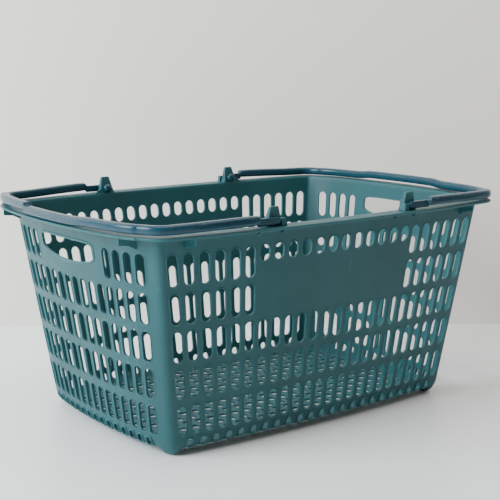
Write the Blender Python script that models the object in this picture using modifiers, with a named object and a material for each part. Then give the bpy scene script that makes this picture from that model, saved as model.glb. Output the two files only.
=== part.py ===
"""Hand-carried supermarket shopping basket: a slotted, tapered tub and two swinging bail handles.

X runs along the long side, -Y is the front, +Z is up, and the origin lies on the floor under the middle.
Lengths are millimetres here and become metres where a mesh is made.
"""

from math import cos, pi, radians, sin

import bmesh
import bpy
from mathutils import Matrix, Vector

MM = 0.001
GAP = 0.3  # clearance between neighbouring solids

# Tub, measured on the outside of its wall
HEIGHT = 236.0
HALF_LENGTH_TOP = 242.3
HALF_LENGTH_BASE = 204.8
HALF_WIDTH_TOP = 167.7
HALF_WIDTH_BASE = 135.0
LONG_BOW = 16.0  # the long sides fall back by this at LONG_SPAN from their middle
LONG_SPAN = 247.0
END_BOW = 17.4
END_SPAN = 160.7
TURN_COLUMN = 6.5  # columns from an end's middle where its wall starts to turn into the corner
TURN_BOW = 0.0048
WALL = 2.4
CORNER_PULL = 0.36  # handle length of the corner's curve, as a share of its chord
CORNER_TRIM = 0.14  # how much narrower the rim is in the middle of a corner
CORNER_CLEAR = 0.022  # part of the corner's curve left free at each end, beside the walls

# Slots
LONG_COLUMNS = 24
END_COLUMNS = 16
LONG_PITCH_TOP = 18.0
LONG_PITCH_BASE = 15.2
END_PITCH_TOP = 17.6
END_PITCH_BASE = 14.0
SLOT_SHARE = 0.66  # slot width as a share of the pitch
END_MARGIN = 1.2  # solid wall between the last slot and the corner piece
ROWS = 5
ROW_TOP = 216.3
ROW_PITCH = 40.1
SLOT_LENGTH = 32.7
OVAL_LENGTH = 16.6
PLAIN_COLUMNS = 12  # columns over the plain panel of a long side
HAND_COLUMNS = 8  # columns that the hand hole takes from the top row of an end
HAND_HALF_WIDTH = 55.0
HAND_BOTTOM = 192.0
HAND_SILL_END = 200.0  # height of the hole's lower edge at its two ends

# Bottom edge, floor and feet
FLOOR_Z = 4.2
FLOOR_THICK = 2.4
FILLET = ((14.0, 0.0), (7.0, 2.6), (FLOOR_Z, 8.6))  # height and inset of the turned-in bottom edge
FLOOR_INSET = 10.4
FLOOR_SLOTS = (12, 5)
FLOOR_BAR = 9.0
FOOT_INSET = 6.5
FOOT_REACH = 17.0

# Rim
FLANGE = 18.6
FLANGE_THICK = 2.8
WALL_TOP = HEIGHT - FLANGE_THICK - 0.7  # the leaning wall's inner edge stands a little higher
RAIL_STEPS = 12
CORNER_STEPS = 6

# Hinges
PIVOT_X = 93.3
PIVOT_Z = 242.0
PIN_RADIUS = 2.5
BORE_RADIUS = 2.6
PIN_STEPS = 24
HEAD_RADIUS = 5.2
HEAD_DEPTH = 4.6
POST_TOP = 255.7
POST_HALF_TOP = 5.0
POST_HALF_BASE = 10.4
POST_OUTER = 171.6
POST_INNER_TOP = 168.4
POST_INNER_BASE = 163.6
LUG_NEAR = 5.3  # from the pivot to the lug's near upper corner
LUG_FAR = 10.8
LUG_RISE = 2.0
LUG_OUTER = 177.4
GUSSET_THICK = 1.6
CORNER_GUSSET_X = 190.7
CORNER_GUSSET_Y = 127.5
CORNER_GUSSET = ((18.0, 0.0), (18.0, 6.6), (7.0, 7.8), (0.0, 13.0))  # reach and drop from the rim

# Handles
PADDLE_Y = 174.6
PADDLE_WIDTH = 5.0
PADDLE_RADIUS = 3.5
PADDLE_DROP = 0.4  # how far the paddle's middle lies below the pin
NECK_START = 116.3
BAR_START = 118.5
BAR_WIDTH = 10.5
BAR_HEIGHT = 9.8
BAR_REST = HEIGHT + 0.5 + BAR_HEIGHT / 2
BAR_EDGE = 0.3  # how far the bar stays inside the edge of the rim
BEVEL = 2.6
LEFT, RIGHT, FRONT, BACK = -1, 1, -1, 1
SIDE_NAMES = {LEFT: "left", RIGHT: "right"}
FACE_NAMES = {FRONT: "front", BACK: "back"}
# Heights of the bar above BAR_REST: the left grip is low in its middle, the right one is high there
MIDDLE_LIFT = {LEFT: 0.0, RIGHT: 2.3}
END_LIFT = {(LEFT, BACK): 3.6, (LEFT, FRONT): 1.9, (RIGHT, BACK): 0.5, (RIGHT, FRONT): 0.5}
CORNER_LIFT = {(LEFT, BACK): 0.7, (LEFT, FRONT): 1.9, (RIGHT, BACK): 0.7, (RIGHT, FRONT): 1.7}
SHOULDER_LIFT = 3.0
# Where a grip changes its height, as distances from the grip's middle
RAMPS = {(LEFT, BACK): (52.0, 56.0), (LEFT, FRONT): (38.0, 84.0),
         (RIGHT, BACK): (58.0, 86.0), (RIGHT, FRONT): (46.0, 66.0)}

TUB_COLOUR = (0.078, 0.200, 0.215, 1.0)
HANDLE_COLOUR = (0.060, 0.150, 0.180, 1.0)


# ---------------------------------------------------------------- the tub's outer surface

def blend(low, high, share):
    return low + (high - low) * share


def half_length(z):
    return blend(HALF_LENGTH_BASE, HALF_LENGTH_TOP, z / HEIGHT)


def half_width(z):
    return blend(HALF_WIDTH_BASE, HALF_WIDTH_TOP, z / HEIGHT)


def long_pitch(z):
    return blend(LONG_PITCH_BASE, LONG_PITCH_TOP, z / HEIGHT)


def end_pitch(z):
    return blend(END_PITCH_BASE, END_PITCH_TOP, z / HEIGHT)


def long_limit(z):
    """x where a long side ends and the corner begins."""
    return long_pitch(z) * ((LONG_COLUMNS - 1) / 2 + SLOT_SHARE / 2) + END_MARGIN


def end_limit(z):
    """y where a short end ends and the corner begins."""
    return end_pitch(z) * ((END_COLUMNS - 1) / 2 + SLOT_SHARE / 2) + END_MARGIN


def long_side(x, z, out=0.0):
    """Plan point of the back wall, moved out along the wall's normal."""
    slope = 2 * LONG_BOW * x / LONG_SPAN ** 2
    normal = Vector((slope, 1.0)).normalized()
    return Vector((x, half_width(z) - LONG_BOW * (x / LONG_SPAN) ** 2)) + normal * out


def end_shape(y, z):
    """How far an end wall has fallen back from its middle at y, and how fast it does there."""
    past = max(abs(y) - TURN_COLUMN * end_pitch(z), 0.0)
    fall = END_BOW * (y / END_SPAN) ** 2 + TURN_BOW * past ** 2
    slope = 2 * END_BOW * y / END_SPAN ** 2 + 2 * TURN_BOW * past * (1 if y > 0 else -1)
    return fall, slope


def end_side(y, z, out=0.0):
    """Plan point of the right end, moved out along the wall's normal."""
    fall, slope = end_shape(y, z)
    normal = Vector((1.0, slope)).normalized()
    return Vector((half_length(z) - fall, y)) + normal * out


def corner(share, z, out=0.0):
    """Plan point of the back right corner, from the end (0) to the long side (1)."""
    x, y = long_limit(z), end_limit(z)
    start, finish = end_side(y, z), long_side(x, z)
    leave = Vector((-end_shape(y, z)[1], 1.0)).normalized()
    arrive = Vector((-1.0, 2 * LONG_BOW * x / LONG_SPAN ** 2)).normalized()
    pull = (finish - start).length * CORNER_PULL
    a, b, c, d = start, start + leave * pull, finish - arrive * pull, finish
    t, s = share, 1 - share
    point = a * s ** 3 + b * 3 * s * s * t + c * 3 * s * t * t + d * t ** 3
    along = (b - a) * s * s + (c - b) * 2 * s * t + (d - c) * t * t
    reach = out * (1 - CORNER_TRIM * sin(pi * share)) if out > 0 else out
    return point + Vector((along.y, -along.x)).normalized() * reach


# ---------------------------------------------------------------- making objects

def clear_scene():
    for thing in list(bpy.data.objects):
        bpy.data.objects.remove(thing, do_unlink=True)


def plastic(name, colour, roughness):
    material = bpy.data.materials.new(name)
    material.use_nodes = True
    shader = material.node_tree.nodes["Principled BSDF"]
    shader.inputs["Base Color"].default_value = colour
    shader.inputs["Roughness"].default_value = roughness
    shader.inputs["Metallic"].default_value = 0.0
    return material


def add_object(name, data, colour=TUB_COLOUR, roughness=0.42):
    thing = bpy.data.objects.new(name, data)
    PARTS.objects.link(thing)
    data.materials.clear()
    data.materials.append(plastic(name, colour, roughness))
    return thing


def mesh_from(work, name):
    mesh = bpy.data.meshes.new(name)
    bmesh.ops.recalc_face_normals(work, faces=work.faces)
    work.to_mesh(mesh)
    work.free()
    return mesh


def grid_shell(name, columns, rows, place, skip):
    """Thin wall: a flat grid laid on the outer surface, with the skipped cells left open."""
    across, down = len(columns) - 1, len(rows) - 1
    work = bmesh.new()
    bmesh.ops.create_grid(work, x_segments=across, y_segments=down, size=1.0)
    skipped = []
    for cell in work.faces:
        middle = cell.calc_center_median()
        i, j = int((middle.x + 1) / 2 * across), int((1 - middle.y) / 2 * down)
        if skip(i, j):
            skipped.append(cell)
    bmesh.ops.delete(work, geom=skipped, context="FACES")
    for vertex in work.verts:
        i, j = round((vertex.co.x + 1) / 2 * across), round((1 - vertex.co.y) / 2 * down)
        vertex.co = place(columns[i], rows[j]) * MM
    mesh = bpy.data.meshes.new(name)
    work.to_mesh(mesh)
    work.free()
    thing = add_object(name, mesh)
    shell = thing.modifiers.new("wall", "SOLIDIFY")
    shell.thickness = WALL * MM
    shell.offset = -1.0
    shell.use_even_offset = True
    return thing


def plate(name, outlines, bottom, thickness, colour=TUB_COLOUR):
    """Flat plate on the XY plane from an outline, with any further outlines as its holes."""
    curve = bpy.data.curves.new(name, "CURVE")
    curve.dimensions = "2D"
    curve.fill_mode = "BOTH"
    curve.extrude = thickness / 2 * MM
    for outline in outlines:
        spline = curve.splines.new("POLY")
        spline.points.add(len(outline) - 1)
        for point, (x, y) in zip(spline.points, outline):
            point.co = (x * MM, y * MM, 0.0, 1.0)
        spline.use_cyclic_u = True
    flat = bpy.data.objects.new(name + "_outline", curve)
    PARTS.objects.link(flat)
    bpy.context.view_layer.update()
    mesh = bpy.data.meshes.new_from_object(flat.evaluated_get(bpy.context.evaluated_depsgraph_get()))
    bpy.data.objects.remove(flat, do_unlink=True)
    work = bmesh.new()
    work.from_mesh(mesh)
    bmesh.ops.remove_doubles(work, verts=work.verts, dist=0.00001)
    bmesh.ops.translate(work, verts=work.verts, vec=(0.0, 0.0, (bottom + thickness / 2) * MM))
    bpy.data.meshes.remove(mesh)
    return add_object(name, mesh_from(work, name), colour)


def loft(name, rings, colour):
    """Closed solid through rings of equally many points."""
    work = bmesh.new()
    loops = [[work.verts.new(point * MM) for point in ring] for ring in rings]
    count = len(loops[0])
    for near, far in zip(loops, loops[1:]):
        for k in range(count):
            work.faces.new((near[k], near[(k + 1) % count], far[(k + 1) % count], far[k]))
    work.faces.new(loops[0])
    work.faces.new(loops[-1])
    return add_object(name, mesh_from(work, name), colour, 0.34)


def tapered_block(name, low, high):
    """Block between two rectangles: each is x0, x1, y0, y1 and a height."""
    work = bmesh.new()
    bmesh.ops.create_cube(work, size=1.0)
    for vertex in work.verts:
        x0, x1, y0, y1, z = high if vertex.co.z > 0 else low
        vertex.co = Vector((x1 if vertex.co.x > 0 else x0, y1 if vertex.co.y > 0 else y0, z)) * MM
    return add_object(name, mesh_from(work, name))


# ---------------------------------------------------------------- walls

def wall_rows(top_cut):
    """Heights of the grid lines as (height, inset), from the top down to the floor's edge."""
    rows = [(top_cut, 0.0)]
    for row in range(ROWS):
        top = ROW_TOP - row * ROW_PITCH
        if top < top_cut:
            rows.append((top, 0.0))
            if row == 0:
                rows.append((top - OVAL_LENGTH, 0.0))
            rows.append((top - SLOT_LENGTH, 0.0))
    return rows + list(FILLET)


def column_lines(count, pitch_share_edges):
    """Grid lines as multiples of the pitch, two for each slot, between the wall's two edges."""
    lines = [("edge", -1)]
    for column in range(count):
        middle = column - (count - 1) / 2
        lines += [("slot", middle - pitch_share_edges), ("slot", middle + pitch_share_edges)]
    return lines + [("edge", 1)]


def make_long_wall(face):
    """Front (-1) or back (1) wall, with rows of slots around a plain panel."""
    rows = wall_rows(WALL_TOP)
    lines = column_lines(LONG_COLUMNS, SLOT_SHARE / 2)

    def place(line, row):
        kind, share = line
        z, inset = row
        x = share * (long_limit(z) - GAP / 2) if kind == "edge" else share * long_pitch(z)
        point = long_side(x, z, -inset)
        return Vector((point.x * -face, point.y * face, z))

    def skip(i, j):
        column = (i - 1) // 2
        if i % 2 == 0 or column < 0 or column >= LONG_COLUMNS:
            return False
        plain = abs(column - (LONG_COLUMNS - 1) / 2) < PLAIN_COLUMNS / 2
        if j in (1, 2):
            return not (plain and j == 2)
        row = (j - 2) // 2
        return j % 2 == 0 and 1 <= row < ROWS and not (plain and row == 1)

    grid_shell(FACE_NAMES[face] + "_wall", lines, rows, place, skip)


def end_place(side, z, inset, y):
    point = end_side(y, z, -inset)
    return Vector((point.x * side, point.y * side, z))


def make_end_wall(side):
    """Lower part of an end, under the hand hole: four full rows of slots."""
    rows = wall_rows(ROW_TOP - SLOT_LENGTH - GAP)
    lines = column_lines(END_COLUMNS, SLOT_SHARE / 2)

    def place(line, row):
        kind, share = line
        z, inset = row
        y = share * (end_limit(z) - GAP / 2) if kind == "edge" else share * end_pitch(z)
        return end_place(side, z, inset, y)

    def skip(i, j):
        return i % 2 == 1 and j % 2 == 1 and j < 2 * (ROWS - 1)

    grid_shell(SIDE_NAMES[side] + "_end_wall", lines, rows, place, skip)


def make_hand_hole(side):
    """The frame of the hand hole: a jamb with four slots at each side, a lintel above, a sill below."""
    top = WALL_TOP
    base = ROW_TOP - SLOT_LENGTH
    jamb_columns = (END_COLUMNS - HAND_COLUMNS) // 2
    jamb_rows = [(top, 0.0), (ROW_TOP, 0.0), (base, 0.0)]
    for face in (-1, 1):
        lines = [("hole", HAND_HALF_WIDTH)]
        for column in range(jamb_columns):
            middle = HAND_COLUMNS / 2 + column + 0.5
            lines += [("slot", middle - SLOT_SHARE / 2), ("slot", middle + SLOT_SHARE / 2)]
        lines.append(("edge", 1))

        def place(line, row):
            kind, share = line
            z, inset = row
            y = {"hole": share, "slot": share * end_pitch(z), "edge": end_limit(z) - GAP / 2}[kind]
            flip = face * side
            return end_place(side, z, inset, y * flip)

        if face * side < 0:
            lines.reverse()
        open_bottom = make_jamb_rows(jamb_rows)
        name = f"{SIDE_NAMES[side]}_hand_hole_jamb_{FACE_NAMES[face]}"
        grid_shell(name, lines, open_bottom, place, lambda i, j: i % 2 == 1 and j == 1)

    shares = [k / 8 for k in range(-8, 9)]
    inner = HAND_HALF_WIDTH - GAP

    def lintel_place(share, row):
        return end_place(side, row[0], 0.0, share * inner)

    grid_shell(f"{SIDE_NAMES[side]}_hand_hole_lintel", shares, [(top, 0.0), (ROW_TOP, 0.0)],
               lintel_place, lambda i, j: False)

    def sill_place(share, row):
        edge = HAND_SILL_END + (HAND_BOTTOM - HAND_SILL_END) * (1 - share ** 2)
        z = edge if row == "edge" else base
        return end_place(side, z, 0.0, share * inner)

    grid_shell(f"{SIDE_NAMES[side]}_hand_hole_sill", shares, ["edge", "base"],
               sill_place, lambda i, j: False)


def make_jamb_rows(rows):
    """The slots of a jamb close a little above the joint with the wall below."""
    (top, _), (slot_top, _), (base, _) = rows
    return [(top, 0.0), (slot_top, 0.0), (base + 2.0, 0.0), (base, 0.0)]


def make_corner(side, face):
    """Rounded upright corner, from the rim down to the floor's edge."""
    rows = [(WALL_TOP, 0.0)] + list(FILLET)
    shares = [k / CORNER_STEPS for k in range(CORNER_STEPS + 1)]
    if side * face < 0:
        shares.reverse()

    def place(share, row):
        z, inset = row
        point = corner(blend(CORNER_CLEAR, 1 - CORNER_CLEAR, share), z, -inset)
        return Vector((point.x * side, point.y * face, z))

    grid_shell(f"corner_{FACE_NAMES[face]}_{SIDE_NAMES[side]}", shares, rows, place, lambda i, j: False)


# ---------------------------------------------------------------- floor, feet and rim

def ring_outline(z, out, steps=8):
    """Closed plan outline of the tub at a height, moved out from the wall."""
    quarter = [end_side(end_limit(z) * k / steps, z, out) for k in range(steps)]
    quarter += [corner(k / CORNER_STEPS, z, out) for k in range(CORNER_STEPS)]
    quarter += [long_side(long_limit(z) * (1 - k / steps), z, out) for k in range(steps)]
    outline = [(p.x, p.y) for p in quarter]
    mirrored = [(-x, y) for x, y in reversed(outline[1:])]
    upper = outline + [(0.0, long_side(0.0, z, out).y)] + mirrored
    lower = [(x, -y) for x, y in reversed(upper[1:])]
    return upper + [(-outline[0][0], 0.0)] + lower


def make_floor():
    """Flat floor with long slots between its bars."""
    columns, lengths = FLOOR_SLOTS
    pitch_x = long_pitch(0.0) * (LONG_COLUMNS - 1) / columns
    reach = end_pitch(0.0) * (END_COLUMNS - 1) / 2
    pitch_y = 2 * reach / lengths
    holes = []
    for i in range(columns):
        x = (i - (columns - 1) / 2) * pitch_x
        for j in range(lengths):
            y = (j - (lengths - 1) / 2) * pitch_y
            dx, dy = (pitch_x - FLOOR_BAR) / 2, (pitch_y - FLOOR_BAR) / 2
            holes.append([(x - dx, y - dy), (x + dx, y - dy), (x + dx, y + dy), (x - dx, y + dy)])
    plate("floor_grid", [ring_outline(FLOOR_Z, -FLOOR_INSET)] + holes, FLOOR_Z, FLOOR_THICK)


def make_foot(side, face):
    """Pad under a corner of the floor, which the basket stands on."""
    outline = [corner(k / CORNER_STEPS, 0.0, -FOOT_INSET) for k in range(CORNER_STEPS + 1)]
    first, last = outline[0], outline[-1]
    outline = [Vector((first.x, first.y - FOOT_REACH / 2))] + outline
    outline += [Vector((last.x - FOOT_REACH / 2, last.y)), Vector((last.x - FOOT_REACH / 2, first.y - FOOT_REACH / 2))]
    points = [(p.x * side, p.y * face) for p in outline]
    plate(f"foot_{FACE_NAMES[face]}_{SIDE_NAMES[side]}", [points], 0.0, FLOOR_Z - GAP)


def make_rim():
    """Flat flange round the mouth: four rails and four corners."""
    z, low = HEIGHT, HEIGHT - FLANGE_THICK
    steps = [2 * k / RAIL_STEPS - 1 for k in range(RAIL_STEPS + 1)]
    x_end = long_limit(z) - GAP / 2
    y_end = end_limit(z) - GAP / 2
    for face in (-1, 1):
        outer = [long_side(share * x_end, z, FLANGE) for share in steps]
        inner = [long_side(share * x_end, z, -WALL) for share in reversed(steps)]
        points = [(p.x, p.y * face) for p in outer + inner]
        plate(f"rim_{FACE_NAMES[face]}", [points], low, FLANGE_THICK)
    for side in (-1, 1):
        outer = [end_side(share * y_end, z, FLANGE) for share in steps]
        inner = [end_side(share * y_end, z, -WALL) for share in reversed(steps)]
        points = [(p.x * side, p.y) for p in outer + inner]
        plate(f"rim_{SIDE_NAMES[side]}", [points], low, FLANGE_THICK)
        for face in (-1, 1):
            edge_gap = GAP / 2 / 20.0
            shares = [blend(edge_gap, 1 - edge_gap, k / CORNER_STEPS) for k in range(CORNER_STEPS + 1)]
            outer = [corner(share, z, FLANGE) for share in shares]
            inner = [corner(share, z, -WALL) for share in reversed(shares)]
            points = [(p.x * side, p.y * face) for p in outer + inner]
            plate(f"rim_corner_{FACE_NAMES[face]}_{SIDE_NAMES[side]}", [points], low, FLANGE_THICK)


# ---------------------------------------------------------------- hinges

def along_y(length, radius, y_start):
    """Cylinder along Y through the pivot height, starting at y_start."""
    work = bmesh.new()
    turn = Matrix.Rotation(radians(-90), 4, "X")
    shift = Matrix.Translation(Vector((0.0, y_start + length / 2, 0.0)) * MM)
    bmesh.ops.create_cone(work, cap_ends=True, segments=PIN_STEPS, radius1=radius * MM,
                          radius2=radius * MM, depth=length * MM, matrix=shift @ turn)
    return work


def make_post(side, face):
    """Upright post on the rim, bored for the handle's pin."""
    x = PIVOT_X * side
    base = HEIGHT + GAP
    low = (x - POST_HALF_BASE, x + POST_HALF_BASE, POST_INNER_BASE, POST_OUTER, base)
    high = (x - POST_HALF_TOP, x + POST_HALF_TOP, POST_INNER_TOP, POST_OUTER, POST_TOP)
    if face < 0:
        low = low[:2] + (-POST_OUTER, -POST_INNER_BASE, base)
        high = high[:2] + (-POST_OUTER, -POST_INNER_TOP, POST_TOP)
    post = tapered_block(f"hinge_post_{FACE_NAMES[face]}_{SIDE_NAMES[side]}", low, high)
    work = along_y(30.0, BORE_RADIUS, -15.0)
    bmesh.ops.translate(work, verts=work.verts, vec=Vector((x, face * POST_OUTER, PIVOT_Z)) * MM)
    cutter = bpy.data.objects.new(post.name + "_bore", mesh_from(work, post.name + "_bore"))
    CUTTERS.objects.link(cutter)
    cutter.hide_render = True
    cutter.display_type = "WIRE"
    bore = post.modifiers.new("bore", "BOOLEAN")
    bore.operation = "DIFFERENCE"
    bore.object = cutter


def make_lug(side, face):
    """Stop lug in the arm's plane, which the raised arm leans on."""
    near, far = side * (PIVOT_X - LUG_NEAR), side * (PIVOT_X - LUG_FAR)
    y0, y1 = sorted((face * (POST_OUTER + GAP), face * LUG_OUTER))
    x0, x1 = sorted((near, far))
    base = (x0 - 0.8, x1, y0, y1, HEIGHT + GAP) if side > 0 else (x0, x1 + 0.8, y0, y1, HEIGHT + GAP)
    tapered_block(f"stop_lug_{FACE_NAMES[face]}_{SIDE_NAMES[side]}", base,
                  (x0, x1, y0, y1, PIVOT_Z + LUG_RISE))


def rib(name, outline, thickness, across):
    """Upright plate from an outline of (reach, height); across turns its plane, given as a matrix."""
    thing = plate(name, [outline], -thickness / 2, thickness)
    thing.data.transform(across)
    if across.determinant() < 0:
        thing.data.flip_normals()


def make_corner_gussets(side, face):
    """Deeper ribs beside each corner: one on the end wall and one on the long wall."""
    top = HEIGHT - FLANGE_THICK - GAP
    drops = [top - drop for _, drop in CORNER_GUSSET]
    reaches = [reach for reach, _ in CORNER_GUSSET[:-1]]
    stem = f"corner_gusset_{FACE_NAMES[face]}_{SIDE_NAMES[side]}"
    inner_y = CORNER_GUSSET_Y - GUSSET_THICK / 2
    inner_x = CORNER_GUSSET_X - GUSSET_THICK / 2
    end_root, end_foot = (end_side(inner_y, z).x + GAP for z in (top, drops[-1]))
    long_root, long_foot = (long_side(inner_x, z).y + GAP for z in (top, drops[-1]))
    for wall, root, foot in (("end", end_root, end_foot), ("side", long_root, long_foot)):
        outline = [(root, top)] + [(root - GAP + reach, z) for reach, z in zip(reaches, drops)]
        outline.append((foot, drops[-1]))
        if wall == "end":
            turn = Matrix(((side, 0, 0), (0, 0, 1), (0, 1, 0))).to_4x4()
            shift = Matrix.Translation((0.0, CORNER_GUSSET_Y * face * MM, 0.0))
        else:
            turn = Matrix(((0, 0, 1), (face, 0, 0), (0, 1, 0))).to_4x4()
            shift = Matrix.Translation((CORNER_GUSSET_X * side * MM, 0.0, 0.0))
        rib(f"{stem}_{wall}", outline, GUSSET_THICK, shift @ turn)


def make_pin(side, face):
    """Hinge pin of a handle arm, with the domed head on the inside of its post."""
    reach = PADDLE_Y - PADDLE_WIDTH / 2 - GAP
    head = POST_INNER_BASE - GAP
    profile = ((0.0, reach), (PIN_RADIUS, reach), (PIN_RADIUS, head), (HEAD_RADIUS, head),
               (HEAD_RADIUS * 0.9, head - HEAD_DEPTH * 0.45), (HEAD_RADIUS * 0.55, head - HEAD_DEPTH * 0.85),
               (0.0, head - HEAD_DEPTH))
    work = bmesh.new()
    points = [work.verts.new((radius * MM, 0.0, height * MM)) for radius, height in profile]
    for upper, lower in zip(points, points[1:]):
        work.edges.new((upper, lower))
    name = f"{SIDE_NAMES[side]}_hinge_pin_{FACE_NAMES[face]}"
    mesh = bpy.data.meshes.new(name)
    work.to_mesh(mesh)
    work.free()
    thing = add_object(name, mesh, HANDLE_COLOUR, 0.34)
    turned = thing.modifiers.new("turned", "SCREW")
    turned.steps = PIN_STEPS
    turned.render_steps = PIN_STEPS
    turned.use_merge_vertices = True
    turned.merge_threshold = 0.00001
    thing.location = (side * PIVOT_X * MM, 0.0, PIVOT_Z * MM)
    thing.rotation_euler.x = -face * pi / 2


# ---------------------------------------------------------------- handles

def section(centre, across, width, height, bevel):
    """Upright ring of eight points: a rectangle with cut corners, across the bar."""
    w, h = width / 2, height / 2
    b = min(bevel, w * 0.8, h * 0.8)
    corners = [(w, h - b), (w - b, h), (b - w, h), (-w, h - b), (-w, b - h), (b - w, -h), (w - b, -h), (w, b - h)]
    return [centre + across * a + Vector((0, 0, c)) for a, c in corners]


def ease(share):
    share = min(max(share, 0.0), 1.0)
    return share * share * (3 - 2 * share)


def grip_lift(side, y):
    """Lift of a grip's bar at y."""
    face = BACK if y > 0 else FRONT
    start, finish = RAMPS[side, face]
    return blend(MIDDLE_LIFT[side], END_LIFT[side, face], ease((abs(y) - start) / (finish - start)))


def bar_out():
    return FLANGE - BAR_EDGE - BAR_WIDTH / 2


def mirrored(ring, side, face):
    return [Vector((p.x * side, p.y * face, p.z)) for p in ring]


def grip_stops(side, face):
    """Distances from a grip's middle towards one end where its section is set."""
    limit = end_limit(HEIGHT) - GAP / 2
    start, finish = RAMPS[side, face]
    stops = [blend(start, finish, k / 4) for k in range(5)]
    return stops + [blend(finish, limit, k / 3) for k in (1, 2, 3)]


def make_grip(side):
    """Long middle of a handle, over the end of the basket."""
    rings = []
    stops = [stop for stop in reversed(grip_stops(side, BACK))] + [0.0]
    stops += [-stop for stop in grip_stops(side, FRONT)]
    for y in stops:
        centre = end_side(y, HEIGHT, bar_out())
        across = Vector((1.0, end_shape(y, HEIGHT)[1], 0.0)).normalized()
        middle = Vector((centre.x, centre.y, BAR_REST + grip_lift(side, y)))
        rings.append(mirrored(section(middle, across, BAR_WIDTH, BAR_HEIGHT, BEVEL), side, 1))
    loft(f"{SIDE_NAMES[side]}_handle_grip", rings, HANDLE_COLOUR)


def make_bend(side, face):
    """Bend of a handle over a corner of the rim."""
    rings = []
    edge_gap = GAP / 2 / 40.0
    for k in range(CORNER_STEPS + 1):
        share = blend(edge_gap, 1 - edge_gap, k / CORNER_STEPS)
        centre = corner(share, HEIGHT, bar_out())
        across = (centre - corner(share, HEIGHT)).normalized()
        lift = blend(END_LIFT[side, face], CORNER_LIFT[side, face], ease(share))
        middle = Vector((centre.x, centre.y, BAR_REST + lift))
        ring = section(middle, Vector((across.x, across.y, 0.0)), BAR_WIDTH, BAR_HEIGHT, BEVEL)
        rings.append(mirrored(ring, side, face))
    loft(f"{SIDE_NAMES[side]}_handle_bend_{FACE_NAMES[face]}", rings, HANDLE_COLOUR)


def make_arm(side, face):
    """Straight arm from the bend to the round end on the pin."""
    across = Vector((0.0, 1.0, 0.0))
    rings = []
    paddle_z = PIVOT_Z - PADDLE_DROP
    for angle in (15, 35, 60, 90):
        x = PIVOT_X - PADDLE_RADIUS * cos(radians(angle))
        height = 2 * PADDLE_RADIUS * sin(radians(angle))
        rings.append(section(Vector((x, PADDLE_Y, paddle_z)), across, PADDLE_WIDTH, height, 0.7))
    neck = Vector((NECK_START, PADDLE_Y, paddle_z))
    rings.append(section(neck, across, PADDLE_WIDTH, 2 * PADDLE_RADIUS, 0.7))
    for k in range(5):
        x = blend(BAR_START, long_limit(HEIGHT) - GAP / 2, k / 4)
        centre = long_side(x, HEIGHT, bar_out())
        lift = blend(SHOULDER_LIFT, CORNER_LIFT[side, face], ease(k / 4))
        tilt = Vector((2 * LONG_BOW * x / LONG_SPAN ** 2, 1.0, 0.0)).normalized()
        middle = Vector((centre.x, centre.y, BAR_REST + lift))
        rings.append(section(middle, tilt, BAR_WIDTH, BAR_HEIGHT, BEVEL))
    rings = [mirrored(ring, side, face) for ring in rings]
    loft(f"{SIDE_NAMES[side]}_handle_arm_{FACE_NAMES[face]}", rings, HANDLE_COLOUR)


def hang_on_axis(side):
    """Parents a handle's pieces to an empty on its hinge axis, without moving them."""
    axis = bpy.data.objects.new(SIDE_NAMES[side] + "_handle_axis", None)
    PARTS.objects.link(axis)
    axis.location = (side * PIVOT_X * MM, 0.0, PIVOT_Z * MM)
    bpy.context.view_layer.update()
    for thing in PARTS.objects:
        if thing.type == "MESH" and thing.name.startswith((SIDE_NAMES[side] + "_handle", SIDE_NAMES[side] + "_hinge")):
            thing.parent = axis
            thing.matrix_parent_inverse = axis.matrix_world.inverted()


def build():
    make_floor()
    make_rim()
    for face in (-1, 1):
        make_long_wall(face)
    for side in (-1, 1):
        make_end_wall(side)
        make_hand_hole(side)
        make_grip(side)
        for face in (-1, 1):
            make_corner(side, face)
            make_foot(side, face)
            make_post(side, face)
            make_lug(side, face)
            make_corner_gussets(side, face)
            make_pin(side, face)
            make_bend(side, face)
            make_arm(side, face)
        hang_on_axis(side)


clear_scene()
PARTS = bpy.data.collections.new("shopping_basket")
CUTTERS = bpy.data.collections.new("cutters")
bpy.context.scene.collection.children.link(PARTS)
bpy.context.scene.collection.children.link(CUTTERS)
build()
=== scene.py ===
"""Looks of the shopping basket: one finely detailed tub moulding and its two swinging handles.

Lengths are millimetres here and become metres where a mesh is made. X runs along the long side,
-Y is the front, +Z is up, and the origin lies on the floor under the middle, as in the CAD frame.
"""

from math import cos, pi, radians, sin

import bmesh
import bpy
from mathutils import Matrix, Vector


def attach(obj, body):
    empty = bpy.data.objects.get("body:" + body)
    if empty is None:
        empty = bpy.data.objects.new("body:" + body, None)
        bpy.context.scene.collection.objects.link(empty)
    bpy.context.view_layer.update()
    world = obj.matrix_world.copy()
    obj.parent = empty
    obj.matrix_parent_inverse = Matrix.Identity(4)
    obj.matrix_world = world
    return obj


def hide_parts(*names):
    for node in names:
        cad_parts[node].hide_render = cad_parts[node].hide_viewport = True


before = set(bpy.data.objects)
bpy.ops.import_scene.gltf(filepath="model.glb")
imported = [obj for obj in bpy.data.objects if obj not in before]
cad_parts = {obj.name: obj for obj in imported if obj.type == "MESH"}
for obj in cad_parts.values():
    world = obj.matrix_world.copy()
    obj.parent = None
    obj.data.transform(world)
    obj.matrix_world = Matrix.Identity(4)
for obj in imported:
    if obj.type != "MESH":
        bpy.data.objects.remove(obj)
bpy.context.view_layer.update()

MM = 0.001

# Tub, measured on the outside of its wall
HEIGHT = 236.0
HALF_LENGTH_TOP = 242.3
HALF_LENGTH_BASE = 204.8
HALF_WIDTH_TOP = 167.7
HALF_WIDTH_BASE = 135.0
LONG_BOW = 16.0
LONG_SPAN = 247.0
END_BOW = 17.4
END_SPAN = 160.7
TURN_COLUMN = 6.5  # columns from an end's middle where its wall starts to turn into the corner
TURN_BOW = 0.0048
WALL = 2.5
CORNER_PULL = 0.38
CORNER_TRIM = 0.14  # how much narrower the rim is in the middle of a corner
CORNER_STEPS = 12

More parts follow.
